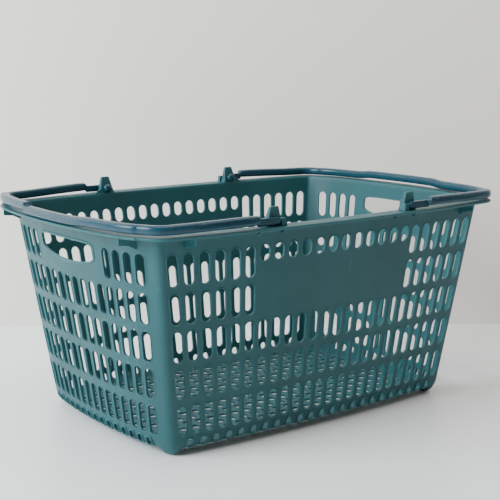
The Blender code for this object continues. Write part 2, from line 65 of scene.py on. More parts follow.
# Slots
LONG_COLUMNS = 24
END_COLUMNS = 16
LONG_PITCH_TOP = 18.0
LONG_PITCH_BASE = 15.2
END_PITCH_TOP = 17.6
END_PITCH_BASE = 14.0
SLOT_HALF = 0.325  # half width of a slot, as a share of its pitch
ROWS = 5
ROW_TOP = 216.3
ROW_PITCH = 40.1
SLOT_LENGTH = 32.7
OVAL_LENGTH = 17.4
PLAIN_COLUMNS = 12
HAND_COLUMNS = 8
HAND_HALF_WIDTH = 55.0
HAND_TOP = 216.5
HAND_MIDDLE = 193.0
HAND_RISE = 6.0
HAND_SQUARENESS = 7.0
BEAD = 0.42  # height of the raised edge round an opening

# Bottom edge, floor and feet
FILLET_START = 16.0
FILLET_RADIUS = 11.0
FLOOR_Z = FILLET_START - FILLET_RADIUS
FILLET_END = -3.8  # length along the profile where the floor begins, past the fillet
WRAP_MIDDLE = 13.4
WRAP_HALF_LENGTH = 5.2
WRAP_HALF_WIDTH = 0.27
WRAP_BEAD = 1.2
FLOOR_HALF_X = 0.30  # half sizes of a floor opening, as shares of its pitch
FLOOR_HALF_Y = 0.33
FLOOR_SQUARENESS = 3.4
FOOT_RISE = 22.0  # height up to which a corner is stretched down to its foot
FOOT_LEAD = 0.45  # pitches before the wall's end where the edge starts to come down
FOOT_RUN = 0.40  # pitches that it takes

# Rim
FLANGE = 18.6
FLANGE_THICK = 3.0
STRIP_TOP = HEIGHT - FLANGE_THICK - 1.6

# Ribs under the flange
RIB_TOP = HEIGHT - FLANGE_THICK + 0.2
CORNER_GUSSET_X = 190.7
CORNER_GUSSET_Y = 127.5
CORNER_GUSSET_THICK = 1.5
HINGE_GUSSET_SPREAD = 14.5  # from the hinge to each rib of its pair
HINGE_GUSSET_DROP = 7.5
HINGE_GUSSET_THICK = 1.6

# Hinges
PIVOT_X = 93.3
PIVOT_Z = 242.0
POST_TOP = 255.65
POST_OUTER = 171.6
POST_INNER_TOP = 168.4
POST_INNER_BASE = 163.6
PIN_RADIUS = 2.5
PIN_GAP = 0.05  # how much slimmer the pin is made
PIN_STEPS = 40
BORE_RADIUS = 2.6
HEAD_RADIUS = 5.2
HEAD_DEPTH = 4.6
LUG_TOP = 244.0
LUG_OUTER = 177.2
LUG_LEAN = 0.1  # how far the lug's outer face leans in for each millimetre of height

# Handles
PADDLE_Y = 174.6
PADDLE_WIDTH = 5.0
PADDLE_HEIGHT = 7.8
PADDLE_DROP = 0.4
NECK_END = 116.3
BAR_FROM = 118.5
TAPER_START = BAR_FROM - 1.4
TAPER_LENGTH = 9.0
CHANNEL_END = 190.0
BAR_WIDTH = 10.6
BAR_HEIGHT = 9.8
BAR_REST = HEIGHT + 0.5 + BAR_HEIGHT / 2
BAR_EDGE = 0.3
LEFT, RIGHT = -1, 1
FRONT, BACK = -1, 1
SIDE_NAMES = {LEFT: "left", RIGHT: "right"}
FACE_NAMES = {FRONT: "front", BACK: "back"}
# Heights of the bar above BAR_REST: the left grip is low in its middle, the right one is high there
MIDDLE_LIFT = {LEFT: 0.0, RIGHT: 2.3}
END_LIFT = {(LEFT, BACK): 3.6, (LEFT, FRONT): 1.9, (RIGHT, BACK): 0.5, (RIGHT, FRONT): 0.5}
CORNER_LIFT = {(LEFT, BACK): 0.7, (LEFT, FRONT): 1.9, (RIGHT, BACK): 0.7, (RIGHT, FRONT): 1.7}
SHOULDER_LIFT = 3.0
# Stretches along a grip, from its middle, over which the bar changes height
RAMPS = {(LEFT, BACK): (52.0, 55.0), (LEFT, FRONT): (38.0, 84.0),
         (RIGHT, BACK): (58.0, 86.0), (RIGHT, FRONT): (46.0, 66.0)}


# ---------------------------------------------------------------- the tub's outer surface

def blend(low, high, share):
    return low + (high - low) * share


def ease(share):
    share = min(max(share, 0.0), 1.0)
    return share * share * (3 - 2 * share)


def half_length(z):
    return blend(HALF_LENGTH_BASE, HALF_LENGTH_TOP, z / HEIGHT)


def half_width(z):
    return blend(HALF_WIDTH_BASE, HALF_WIDTH_TOP, z / HEIGHT)


def long_pitch(z):
    return blend(LONG_PITCH_BASE, LONG_PITCH_TOP, z / HEIGHT)


def end_pitch(z):
    return blend(END_PITCH_BASE, END_PITCH_TOP, z / HEIGHT)


def long_side(x, z, out):
    """Plan point and outward normal of the back wall."""
    normal = Vector((2 * LONG_BOW * x / LONG_SPAN ** 2, 1.0)).normalized()
    return Vector((x, half_width(z) - LONG_BOW * (x / LONG_SPAN) ** 2)) + normal * out


def end_shape(y, z):
    """How far an end wall has fallen back from its middle at y, and how fast it does there."""
    past = max(abs(y) - TURN_COLUMN * end_pitch(z), 0.0)
    fall = END_BOW * (y / END_SPAN) ** 2 + TURN_BOW * past ** 2
    slope = 2 * END_BOW * y / END_SPAN ** 2 + 2 * TURN_BOW * past * (1 if y > 0 else -1)
    return fall, slope


def end_side(y, z, out):
    fall, slope = end_shape(y, z)
    return Vector((half_length(z) - fall, y)) + Vector((1.0, slope)).normalized() * out


def corner(share, z, out):
    """Plan point of the back right corner, from the end (0) to the long side (1)."""
    x = long_pitch(z) * LONG_COLUMNS / 2
    y = end_pitch(z) * END_COLUMNS / 2
    start, finish = end_side(y, z, 0.0), long_side(x, z, 0.0)
    leave = Vector((-end_shape(y, z)[1], 1.0)).normalized()
    arrive = Vector((-1.0, 2 * LONG_BOW * x / LONG_SPAN ** 2)).normalized()
    pull = (finish - start).length * CORNER_PULL
    a, b, c, d = start, start + leave * pull, finish - arrive * pull, finish
    t, s = share, 1 - share
    point = a * s ** 3 + b * 3 * s * s * t + c * 3 * s * t * t + d * t ** 3
    along = (b - a) * s * s + (c - b) * 2 * s * t + (d - c) * t * t
    reach = out * (1 - CORNER_TRIM * sin(pi * share)) if out > 0 else out
    return point + Vector((along.y, -along.x)).normalized() * reach


def profile(v, drop):
    """Height, inset and downward turn at a length v along the wall and round the bottom fillet."""
    past = max(FILLET_START - v, 0.0)
    angle = min(past / FILLET_RADIUS, pi / 2)
    height = v if past == 0.0 else FILLET_START - FILLET_RADIUS * sin(angle)
    inset = FILLET_RADIUS * (1 - cos(angle)) + max(past - FILLET_RADIUS * pi / 2, 0.0)
    lower = drop * ease((FOOT_RISE - v) / FOOT_RISE)
    return height - lower, inset, angle


def foot_drop(beyond):
    """How far the bottom edge comes down to the feet, by the distance from the last slot in pitches."""
    return FLOOR_Z * ease((beyond + FOOT_LEAD) / FOOT_RUN)


def lay(plan, z, angle, out):
    return Vector((plan.x, plan.y, z - sin(angle) * out))


def on_long(u, v, out):
    """Point of the back wall at u pitches from its middle."""
    z, inset, angle = profile(v, foot_drop(abs(u) - LONG_COLUMNS / 2))
    return lay(long_side(u * long_pitch(z), z, out * cos(angle) - inset), z, angle, out)


def on_end(u, v, out):
    """Point of the right end; u runs towards the front, so that it is seen from outside as +X."""
    z, inset, angle = profile(v, foot_drop(abs(u) - END_COLUMNS / 2))
    return lay(end_side(u * end_pitch(z), z, out * cos(angle) - inset), z, angle, out)


def on_corner(share, v, out):
    z, inset, angle = profile(v, FLOOR_Z)
    return lay(corner(share, z, out * cos(angle) - inset), z, angle, out)


def half_turn(place):
    """The same wall on the opposite side of the tub."""
    def turned(u, v, out):
        point = place(u, v, out)
        return Vector((-point.x, -point.y, point.z))
    return turned


# ---------------------------------------------------------------- tiles

class Skin:
    """Collects points and faces of the tub, both outer and inner skin."""

    def __init__(self):
        self.points = []
        self.faces = []

    def ring(self, points):
        first = len(self.points)
        self.points += points
        return list(range(first, first + len(points)))

    def bridge(self, near, far):
        count = len(near)
        for k in range(count):
            self.faces.append((near[k], near[(k + 1) % count], far[(k + 1) % count], far[k]))

    def tube(self, rings):
        """Joins closed rings of points in turn, and returns their places in the list."""
        loops = [self.ring(ring) for ring in rings]
        for near, far in zip(loops, loops[1:]):
            self.bridge(near, far)
        return loops

    def strip(self, near, far):
        """Faces between two open rows of points."""
        for k in range(len(near) - 1):
            self.faces.append((near[k], near[k + 1], far[k + 1], far[k]))


SIDE_LEVELS = (-1.0, -0.72, -0.5, 0.0, 0.5, 0.72, 1.0)
ARC_STEPS = 8


def frame_ring(u0, u1, v0, v1, columns):
    """Anticlockwise ring on a tile's rectangle, from the middle right; tiles share its points."""
    levels = [blend(v0, v1, (level + 1) / 2) for level in SIDE_LEVELS]
    across = [blend(u0, u1, k / (4 * columns)) for k in range(4 * columns + 1)]
    middle = len(levels) // 2
    ring = [(u1, v) for v in levels[middle:]]
    ring += [(u, v1) for u in reversed(across[:-1])]
    ring += [(u0, v) for v in reversed(levels[:-1])]
    ring += [(u, v0) for u in across[1:]]
    ring += [(u1, v) for v in levels[1:middle]]
    return ring


def stadium_ring(half_width_mm, half_length_mm, grow):
    """Anticlockwise ring round a round-ended slot, in millimetres from its middle."""
    radius = min(half_width_mm, half_length_mm)
    straight = max(half_length_mm - radius, 0.0)
    radius += grow
    upper = [(cos(pi * k / ARC_STEPS) * radius, straight + sin(pi * k / ARC_STEPS) * radius)
             for k in range(ARC_STEPS + 1)]
    lower = [(-x, -y) for x, y in upper]
    return [(radius, 0.0)] + upper + [(-radius, 0.0)] + lower


def open_tile(skin, place, box, middle, size, pitch, bead=BEAD):
    """Tile with a round-ended slot through both skins."""
    u0, u1, v0, v1 = box
    outline = frame_ring(u0, u1, v0, v1, 1)

    def hole(grow, out):
        ring = stadium_ring(size[0], size[1], grow)
        return [place(middle[0] + x / pitch, middle[1] + y, out) for x, y in ring]

    rings = [[place(u, v, 0.0) for u, v in outline], hole(1.5, 0.0), hole(0.8, bead),
             hole(0.25, bead), hole(0.0, bead - 0.3), hole(0.0, 0.4 - WALL), hole(0.4, -WALL),
             [place(u, v, -WALL) for u, v in outline]]
    skin.tube(rings)


def plain_tile(skin, place, us, vs):
    """Solid stretch of wall on both skins."""
    for out in (0.0, -WALL):
        rows = [skin.ring([place(u, v, out) for u in us]) for v in vs]
        for near, far in zip(rows, rows[1:]):
            if out < 0:
                skin.strip(far, near)
            else:
                skin.strip(near, far)


def quarters(u0, u1):
    count = round((u1 - u0) * 4)
    return [blend(u0, u1, k / count) for k in range(count + 1)]


def row_limits(row):
    """Lower and upper edge of a row of tiles, and the middle of its slots."""
    middle = ROW_TOP - row * ROW_PITCH - SLOT_LENGTH / 2
    return middle - ROW_PITCH / 2, middle + ROW_PITCH / 2, middle


def row_levels(row):
    low, high, _ = row_limits(row)
    return [blend(low, high, (level + 1) / 2) for level in SIDE_LEVELS]


def slot_tile(skin, place, column_middle, row, pitch_at):
    low, high, middle = row_limits(row)
    pitch = pitch_at(middle)
    box = (column_middle - 0.5, column_middle + 0.5, low, high)
    open_tile(skin, place, box, (column_middle, middle), (SLOT_HALF * pitch, SLOT_LENGTH / 2), pitch)


def oval_tile(skin, place, column_middle, pitch_at):
    low, high, _ = row_limits(0)
    middle = ROW_TOP + 0.5 - OVAL_LENGTH / 2
    pitch = pitch_at(middle)
    box = (column_middle - 0.5, column_middle + 0.5, low, high)
    open_tile(skin, place, box, (column_middle, middle), (SLOT_HALF * pitch, OVAL_LENGTH / 2), pitch)


def columns_of(count):
    return [k - (count - 1) / 2 for k in range(count)]


def wrap_row(skin, place, count, pitch_at):
    """Holes that wrap round the bottom fillet, half a pitch out of step with the columns above."""
    top = row_limits(ROWS - 1)[0]
    edge = count / 2
    pitch = pitch_at(WRAP_MIDDLE)
    levels = [blend(FILLET_END, top, (level + 1) / 2) for level in SIDE_LEVELS]
    for u0 in (-edge, edge - 0.5):
        plain_tile(skin, place, quarters(u0, u0 + 0.5), levels)
    for k in range(count - 1):
        middle = k - edge + 1
        box = (middle - 0.5, middle + 0.5, FILLET_END, top)
        size = (WRAP_HALF_WIDTH * pitch, WRAP_HALF_LENGTH)
        open_tile(skin, place, box, (middle, WRAP_MIDDLE), size, pitch, WRAP_BEAD)


def top_strip(skin, place, us):
    plain_tile(skin, place, us, [row_limits(0)[1], blend(row_limits(0)[1], STRIP_TOP, 0.5), STRIP_TOP])


def long_wall(skin, place):
    for column in columns_of(LONG_COLUMNS):
        over_panel = abs(column) < PLAIN_COLUMNS / 2
        if over_panel:
            oval_tile(skin, place, column, long_pitch)
        else:
            slot_tile(skin, place, column, 0, long_pitch)
            slot_tile(skin, place, column, 1, long_pitch)
        for row in range(2, ROWS):
            slot_tile(skin, place, column, row, long_pitch)
    half = PLAIN_COLUMNS / 2
    plain_tile(skin, place, quarters(-half, half), row_levels(1))
    top_strip(skin, place, quarters(-LONG_COLUMNS / 2, LONG_COLUMNS / 2))
    wrap_row(skin, place, LONG_COLUMNS, long_pitch)


def hand_hole_ring(outline, low, high, grow):
    """Ring of the hand hole that faces the outline's points."""
    half = HAND_COLUMNS / 2
    ring = []
    for u, v in outline:
        p, q = u / half, (v - (low + high) / 2) / ((high - low) / 2)
        scale = (abs(p) ** HAND_SQUARENESS + abs(q) ** HAND_SQUARENESS) ** (-1 / HAND_SQUARENESS)
        y = p * scale * (HAND_HALF_WIDTH + grow)
        floor = HAND_MIDDLE + HAND_RISE * (y / HAND_HALF_WIDTH) ** 2
        middle, tall = (HAND_TOP + floor) / 2, (HAND_TOP - floor) / 2 + grow
        ring.append((y, middle + q * scale * tall))
    return ring


def hand_hole(skin, place):
    low, high, middle = row_limits(0)
    half = HAND_COLUMNS / 2
    pitch = end_pitch(middle)
    outline = frame_ring(-half, half, low, high, HAND_COLUMNS)

    def hole(grow, out):
        return [place(y / pitch, z, out) for y, z in hand_hole_ring(outline, low, high, grow)]

    rings = [[place(u, v, 0.0) for u, v in outline], hole(2.8, 0.0), hole(2.0, 0.8), hole(0.5, 0.8),
             hole(0.0, 0.4), hole(0.0, 0.4 - WALL), hole(0.5, -WALL),
             [place(u, v, -WALL) for u, v in outline]]
    skin.tube(rings)


def end_wall(skin, place):
    for column in columns_of(END_COLUMNS):
        if abs(column) > HAND_COLUMNS / 2:
            slot_tile(skin, place, column, 0, end_pitch)
        for row in range(1, ROWS):
            slot_tile(skin, place, column, row, end_pitch)
    hand_hole(skin, place)
    top_strip(skin, place, quarters(-END_COLUMNS / 2, END_COLUMNS / 2))
    wrap_row(skin, place, END_COLUMNS, end_pitch)


def corner_levels():
    levels = []
    for row in range(ROWS):
        levels += row_levels(row)
    top = row_limits(ROWS - 1)[0]
    levels += [blend(FILLET_END, top, (level + 1) / 2) for level in SIDE_LEVELS]
    levels += [blend(row_limits(0)[1], STRIP_TOP, 0.5), STRIP_TOP]
    return sorted(set(round(level, 6) for level in levels))


def corner_shares():
    return [k / CORNER_STEPS for k in range(CORNER_STEPS + 1)]


# ---------------------------------------------------------------- floor and rim

def floor_edge(u, w):
    """Point of the floor: u and w are pitches along X and Y, and its edges follow the bowed walls."""
    z = FLOOR_Z
    inset = profile(FILLET_END, 0.0)[1]
    x_share, y_share = u / (LONG_COLUMNS / 2), w / (END_COLUMNS / 2)
    x = u * long_pitch(z)
    y = w * end_pitch(z)
    y_limit = long_side(x, z, -inset).y
    x_limit = end_side(y, z, -inset).x
    return Vector((x_share * x_limit, y_share * y_limit, z))


def floor_place(u, w, out):
    """out is measured downwards, like the walls' outer side."""
    point = floor_edge(u, w)
    return Vector((point.x, point.y, point.z - out))


def mirrored(place):
    def flipped(u, v, out):
        return place(-u, v, out)
    return flipped


def floor_grid(skin):
    """Rows of small round-cornered openings, seen from below as u to the left."""
    edge_u, edge_w = LONG_COLUMNS / 2 - 0.5, END_COLUMNS / 2 - 0.5
    under = mirrored(floor_place)
    for i in range(LONG_COLUMNS - 1):
        for j in range(END_COLUMNS - 1):
            u, w = i - edge_u + 0.5, j - edge_w + 0.5
            box = (u - 0.5, u + 0.5, w - 0.5, w + 0.5)
            floor_tile(skin, under, box, (u, w))
    us = quarters(-edge_u - 0.5, edge_u + 0.5)
    for u0, u1 in ((-edge_u - 0.5, -edge_u), (edge_u, edge_u + 0.5)):
        plain_tile(skin, under, quarters(u0, u1), floor_levels(-edge_w - 0.5, edge_w + 0.5))
    for w0, w1 in ((-edge_w - 0.5, -edge_w), (edge_w, edge_w + 0.5)):
        plain_tile(skin, under, us[2:-2], [w0, w1])


def floor_levels(low, high):
    """Lengths along Y that match the tiles' side points."""
    levels = [low]
    for j in range(END_COLUMNS - 1):
        levels += [low + 0.5 + j + (level + 1) / 2 for level in SIDE_LEVELS[:-1]]
    return levels + [high - 0.5, high]


def floor_tile(skin, place, box, middle):
    u0, u1, w0, w1 = box
    outline = frame_ring(u0, u1, w0, w1, 1)

    def hole(grow, out):
        ring = []
        for u, w in outline:
            p, q = (u - middle[0]) * 2, (w - middle[1]) * 2
            scale = (abs(p) ** FLOOR_SQUARENESS + abs(q) ** FLOOR_SQUARENESS) ** (-1 / FLOOR_SQUARENESS)
            ring.append(place(middle[0] + p * scale * (FLOOR_HALF_X + grow),
                              middle[1] + q * scale * (FLOOR_HALF_Y + grow), out))
        return ring

    rings = [[place(u, w, 0.0) for u, w in outline], hole(0.03, 0.0), hole(0.0, -0.4),
             hole(0.0, 0.4 - WALL), hole(0.03, -WALL), [place(u, w, -WALL) for u, w in outline]]
    skin.tube(rings)


def rim_section():
    """Section of the flange, from the wall's outer face round the edge to its inner face: (out, z)."""
    low, high = HEIGHT - FLANGE_THICK, HEIGHT
    points = [(0.0, STRIP_TOP), (0.5, low - 0.5), (1.6, low)]
    points += [(FLANGE * k / 4, low) for k in (1, 2, 3)]
    for k in range(7):
        angle = -pi / 2 + pi * k / 6
        points.append((FLANGE - 1.3 + 1.3 * cos(angle), low + 1.5 + 1.5 * sin(angle)))
    points += [(FLANGE * 0.66, high), (FLANGE * 0.33, high), (-WALL + 1.2, high)]
    points += [(-WALL + 0.35, high - 0.35), (-WALL, high - 1.2), (-WALL, STRIP_TOP)]
    return points


def rim_stations():
    """Plan functions round the mouth, each giving a point for a distance out and a height."""
    stations = []
    for u in quarters(-END_COLUMNS / 2, END_COLUMNS / 2)[:-1]:
        stations.append(lambda out, z, u=u: end_side(u * end_pitch(z), z, out))
    for share in corner_shares()[:-1]:
        stations.append(lambda out, z, share=share: corner(share, z, out))
    for u in reversed(quarters(-LONG_COLUMNS / 2, LONG_COLUMNS / 2)[1:]):
        stations.append(lambda out, z, u=u: long_side(u * long_pitch(z), z, out))
    for share in corner_shares()[:0:-1]:
        def flipped(out, z, share=share):
            point = corner(share, z, out)
            return Vector((-point.x, point.y))
        stations.append(flipped)
    return stations


def rim(skin):
    half = rim_stations()
    rings = []
    for turn in (1, -1):
        for station in half:
            ring = []
            for out, z in rim_section():
                point = station(out, z)
                ring.append(Vector((point.x * turn, point.y * turn, z)))
            rings.append(skin.ring(ring))
    for near, far in zip(rings, rings[1:] + rings[:1]):
        skin.strip(near, far)


def make_tub():
    skin = Skin()
    long_wall(skin, mirrored(on_long))
    long_wall(skin, half_turn(mirrored(on_long)))
    end_wall(skin, on_end)
    end_wall(skin, half_turn(on_end))
    levels = corner_levels()
    for side in (1, -1):
        for face in (1, -1):
            def place(share, v, out):
                point = on_corner(share, v, out)
                return Vector((point.x * side, point.y * face, point.z))
            shares = corner_shares()
            plain_tile(skin, place, shares if side * face > 0 else shares[::-1], levels)
            foot_underside(skin, side, face)
    floor_grid(skin)
    rim(skin)
    return skin


def foot_underside(skin, side, face):
    """Web between a corner's foot and the last opening of the floor."""
    edge_u, edge_w = LONG_COLUMNS / 2 - 0.5, END_COLUMNS / 2 - 0.5
    for out in (0.0, -WALL):
        ring = [on_end(u, FILLET_END, out) for u in (edge_w, edge_w + 0.25, edge_w + 0.5)]
        ring += [on_corner(share, FILLET_END, out) for share in corner_shares()[1:-1]]
        ring += [on_long(u, FILLET_END, out) for u in (edge_u + 0.5, edge_u + 0.25, edge_u)]
        middle = floor_place(edge_u, edge_w, out)
        ring = [Vector((p.x * side, p.y * face, p.z)) for p in ring]
        hub = skin.ring([Vector((middle.x * side, middle.y * face, middle.z))])[0]
        rim_points = skin.ring(ring)
        for near, far in zip(rim_points, rim_points[1:]):
            triangle = (hub, near, far) if side * face * (1 if out == 0.0 else -1) < 0 else (hub, far, near)
            skin.faces.append(triangle)


# ---------------------------------------------------------------- meshes from points

def as_mesh(name, points, faces, crease=28.0):
    """Mesh from millimetre points, welded where they meet, facing out and smooth up to the crease."""
    mesh = bpy.data.meshes.new(name)
    mesh.from_pydata([tuple(point * MM) for point in points], [], faces)
    work = bmesh.new()
    work.from_mesh(mesh)
    bmesh.ops.remove_doubles(work, verts=work.verts, dist=0.00002)
    bmesh.ops.dissolve_degenerate(work, edges=work.edges, dist=0.000001)
    bmesh.ops.recalc_face_normals(work, faces=work.faces)
    work.to_mesh(mesh)
    work.free()
    mesh.shade_smooth()
    mesh.set_sharp_from_angle(angle=radians(crease))
    return mesh


def add_piece(name, mesh, material, body, slot, *nodes):
    """Places a piece in the scene, riding on a body and standing for CAD nodes."""
    thing = bpy.data.objects.new(name, mesh)
    bpy.context.scene.collection.objects.link(thing)
    thing.data.materials.append(material)
    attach(thing, body)
    if nodes:
        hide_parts(*nodes)
    return thing


def bevelled(thing, width, segments=2):
    edge = thing.modifiers.new("edge", "BEVEL")
    edge.width = width * MM
    edge.segments = segments
    edge.limit_method = "ANGLE"
    edge.angle_limit = radians(40)
    edge.harden_normals = True


# ---------------------------------------------------------------- materials

def moulded_plastic(name, colour, pale_wear_and_highlight, roughness, coat, wear_and_highlight):
    """Injection-moulded plastic: faint flow mottling, fine grain, and paler edges that are partly rubbed
    wear and partly painted highlight.
    """
    material = bpy.data.materials.new(name)
    material.use_nodes = True
    nodes, links = material.node_tree.nodes, material.node_tree.links
    shader = nodes["Principled BSDF"]
    shader.inputs["Metallic"].default_value = 0.0
    shader.inputs["IOR"].default_value = 1.49
    shader.inputs["Specular IOR Level"].default_value = 0.30
    shader.inputs["Coat Weight"].default_value = coat
    shader.inputs["Coat Roughness"].default_value = 0.25
    place = nodes.new("ShaderNodeTexCoord")

    def noise(scale, detail, stretch=(1.0, 1.0, 1.0)):
        mapping = nodes.new("ShaderNodeMapping")
        mapping.inputs["Scale"].default_value = stretch
        links.new(place.outputs["Object"], mapping.inputs["Vector"])
        texture = nodes.new("ShaderNodeTexNoise")
        texture.inputs["Scale"].default_value = scale
        texture.inputs["Detail"].default_value = detail
        links.new(mapping.outputs["Vector"], texture.inputs["Vector"])
        return texture.outputs["Fac"]

    def ramp(source, stops):
        node = nodes.new("ShaderNodeValToRGB")
        for element, (position, shade) in zip(node.color_ramp.elements, stops):
            element.position = position
            element.color = shade
        links.new(source, node.inputs["Fac"])
        return node.outputs["Color"]

    def mix(factor, low, high):
        node = nodes.new("ShaderNodeMix")
        node.data_type = "RGBA"
        links.new(factor, node.inputs["Factor"])
        links.new(low, node.inputs["A"])
        if isinstance(high, tuple):
            node.inputs["B"].default_value = high
        else:
            links.new(high, node.inputs["B"])
        return node.outputs["Result"]

    def spread(source, low, high, out_low, out_high):
        node = nodes.new("ShaderNodeMapRange")
        limits = {"From Min": low, "From Max": high, "To Min": out_low, "To Max": out_high}
        for socket, value in limits.items():
            node.inputs[socket].default_value = value
        links.new(source, node.inputs["Value"])
        return node.outputs["Result"]

    def tint(share):
        return tuple(channel * share for channel in colour[:3]) + (1.0,)

    flow = ramp(noise(14.0, 4.0, (1.0, 1.0, 0.45)), ((0.32, tint(0.90)), (0.70, tint(1.10))))
    scuffs = spread(noise(160.0, 6.0, (1.0, 1.0, 0.25)), 0.64, 0.78, 0.0, 0.40 * wear_and_highlight)
    scuffed = mix(scuffs, flow, pale_wear_and_highlight)
    # Painted highlight mixed with wear: convex edges and slot beads turn paler by pointiness.
    geometry = nodes.new("ShaderNodeNewGeometry")
    rubbed_and_highlit = mix(spread(geometry.outputs["Pointiness"], 0.52, 0.62, 0.0, wear_and_highlight), scuffed, pale_wear_and_highlight)
    links.new(rubbed_and_highlit, shader.inputs["Base Color"])
    gloss = spread(noise(45.0, 5.0), 0.3, 0.7, roughness - 0.09 * wear_and_highlight, roughness + 0.12 * wear_and_highlight)
    links.new(gloss, shader.inputs["Roughness"])
    grain = nodes.new("ShaderNodeBump")
    grain.inputs["Strength"].default_value = 0.18 * wear_and_highlight
    grain.inputs["Distance"].default_value = 0.0002
    links.new(noise(1500.0, 2.0), grain.inputs["Height"])
    links.new(grain.outputs["Normal"], shader.inputs["Normal"])
    return material


# The second colour is the paler tone of scuffs and of edges, where it is partly wear and partly painted
# highlight.
TUB = moulded_plastic("tub_plastic", (0.015, 0.082, 0.094), (0.054, 0.228, 0.266, 1.0),
                      roughness=0.46, coat=0.0, wear_and_highlight=0.52)
HANDLE = moulded_plastic("handle_plastic", (0.009, 0.050, 0.078), (0.050, 0.175, 0.235, 1.0),
                         roughness=0.24, coat=0.03, wear_and_highlight=0.15)


# ---------------------------------------------------------------- handles

SECTION_STEPS = 28


def section(centre, across, width, height, power, groove=0.0):
    """Upright ring round a bar: a rounded rectangle with an optional groove along its outer face."""
    ring = []
    for k in range(SECTION_STEPS):
        angle = 2 * pi * (k + 0.5) / SECTION_STEPS
        c, s = cos(angle), sin(angle)
        a = abs(c) ** (2 / power) * (1 if c > 0 else -1) * width / 2
        b = abs(s) ** (2 / power) * (1 if s > 0 else -1) * height / 2
        if a > 0:
            a -= groove * ease(1.5 - abs(b - height * 0.16) / 1.1)
        ring.append(centre + across * a + Vector((0.0, 0.0, b)))
    return ring


def grip_lift(side, y):
    """Lift of a grip's bar at y."""
    face = BACK if y > 0 else FRONT
    start, finish = RAMPS[side, face]
    return blend(MIDDLE_LIFT[side], END_LIFT[side, face], ease((abs(y) - start) / (finish - start)))


def bar_out():
    return FLANGE - BAR_EDGE - BAR_WIDTH / 2


def plan_to(point, z):
    return Vector((point.x, point.y, z))


def arm_sections(corner_lift):
    """Sections of an arm, built at the back right, from its round end to the corner."""
    straight = Vector((0.0, 1.0, 0.0))
    paddle_z = PIVOT_Z - PADDLE_DROP
    radius = PADDLE_HEIGHT / 2
    rings = []
    for degrees in (8, 18, 30, 45, 60, 75, 90):
        turn = radians(degrees)
        x = PIVOT_X - radius * cos(turn)
        width = PADDLE_WIDTH * (0.72 + 0.28 * sin(turn))
        rings.append(section(Vector((x, PADDLE_Y, paddle_z)), straight, width, 2 * radius * sin(turn), 4.5))
    for x in (100.0, 108.0, NECK_END - 1.0, NECK_END):
        rings.append(section(Vector((x, PADDLE_Y, paddle_z)), straight, PADDLE_WIDTH, PADDLE_HEIGHT, 4.5))
    finish = long_pitch(HEIGHT) * LONG_COLUMNS / 2
    grown = ((0.0, 0.84), (0.08, 0.90), (0.25, 0.95), (0.55, 0.985), (1.0, 1.0))
    stations = [(TAPER_START + TAPER_LENGTH * run, share) for run, share in grown]
    stations += [(blend(TAPER_START + TAPER_LENGTH, finish, k / 16), 1.0) for k in range(1, 16)]
    for x, share in stations:
        point = long_side(x, HEIGHT, bar_out())
        across = Vector((2 * LONG_BOW * x / LONG_SPAN ** 2, 1.0, 0.0)).normalized()
        lift = blend(SHOULDER_LIFT, corner_lift, ease((x - BAR_FROM) / (finish - BAR_FROM)))
        groove = 1.4 * ease((x - BAR_FROM - 2) / 5) * ease((CHANNEL_END - x) / 10)
        middle = plan_to(point, BAR_REST + lift)
        rings.append(section(middle, across, BAR_WIDTH * share, BAR_HEIGHT * share, 3.0, groove))
    return rings


def bend_sections(end_lift, corner_lift):
    rings = []
    for k in range(CORNER_STEPS + 1):
        share = 1 - k / CORNER_STEPS
        point = corner(share, HEIGHT, bar_out())
        away = point - corner(share, HEIGHT, 0.0)
        middle = plan_to(point, BAR_REST + blend(end_lift, corner_lift, ease(share)))
        rings.append(section(middle, plan_to(away, 0.0).normalized(), BAR_WIDTH, BAR_HEIGHT, 2.7))
    return rings


def grip_stations(side):
    """Places along a grip from the back to the front, closer together where it changes height."""
    limit = end_pitch(HEIGHT) * END_COLUMNS / 2
    stations = [limit * (1 - 2 * k / 40) for k in range(1, 40)]
    for face in (FRONT, BACK):
        start, finish = RAMPS[side, face]
        stations += [blend(start, finish, k / 8) * face for k in range(9)]
    return sorted(stations, reverse=True)


def grip_sections(side):
    rings = []
    for y in grip_stations(side):
        point = end_side(y, HEIGHT, bar_out())
        across = Vector((1.0, end_shape(y, HEIGHT)[1], 0.0)).normalized()
        middle = plan_to(point, BAR_REST + grip_lift(side, y))
        rings.append(section(middle, across, BAR_WIDTH, BAR_HEIGHT, 2.7))
    return rings


def make_handle(side):
    """One handle, built on the right end and mirrored for the left one."""
    back, front = ((END_LIFT[side, face], CORNER_LIFT[side, face]) for face in (BACK, FRONT))
    rings = arm_sections(back[1]) + bend_sections(*back) + grip_sections(side)
    front_half = arm_sections(front[1]) + bend_sections(*front)
    rings += [[Vector((p.x, -p.y, p.z)) for p in ring] for ring in reversed(front_half)]
    skin = Skin()
    loops = skin.tube([[Vector((p.x * side, p.y, p.z)) for p in ring] for ring in rings])
    skin.faces += [tuple(loops[0]), tuple(loops[-1])]
    name = SIDE_NAMES[side]
    nodes = [f"{name}_handle_grip"]
    nodes += [f"{name}_handle_{part}_{face}" for part in ("arm", "bend") for face in ("front", "back")]
    mesh = as_mesh(name + "_handle", skin.points, skin.faces, 45.0)
    return add_piece(name + "_handle", mesh, HANDLE, name + "_handle", "handle_plastic", *nodes)


# ---------------------------------------------------------------- posts, pins, lugs and ribs

def slab_faces(count):
    """Faces of a solid whose points are one outline and then the same outline again, further on."""
    faces = [tuple(range(count)), tuple(range(2 * count - 1, count - 1, -1))]
    return faces + [(k, (k + 1) % count, (k + 1) % count + count, k + count) for k in range(count)]


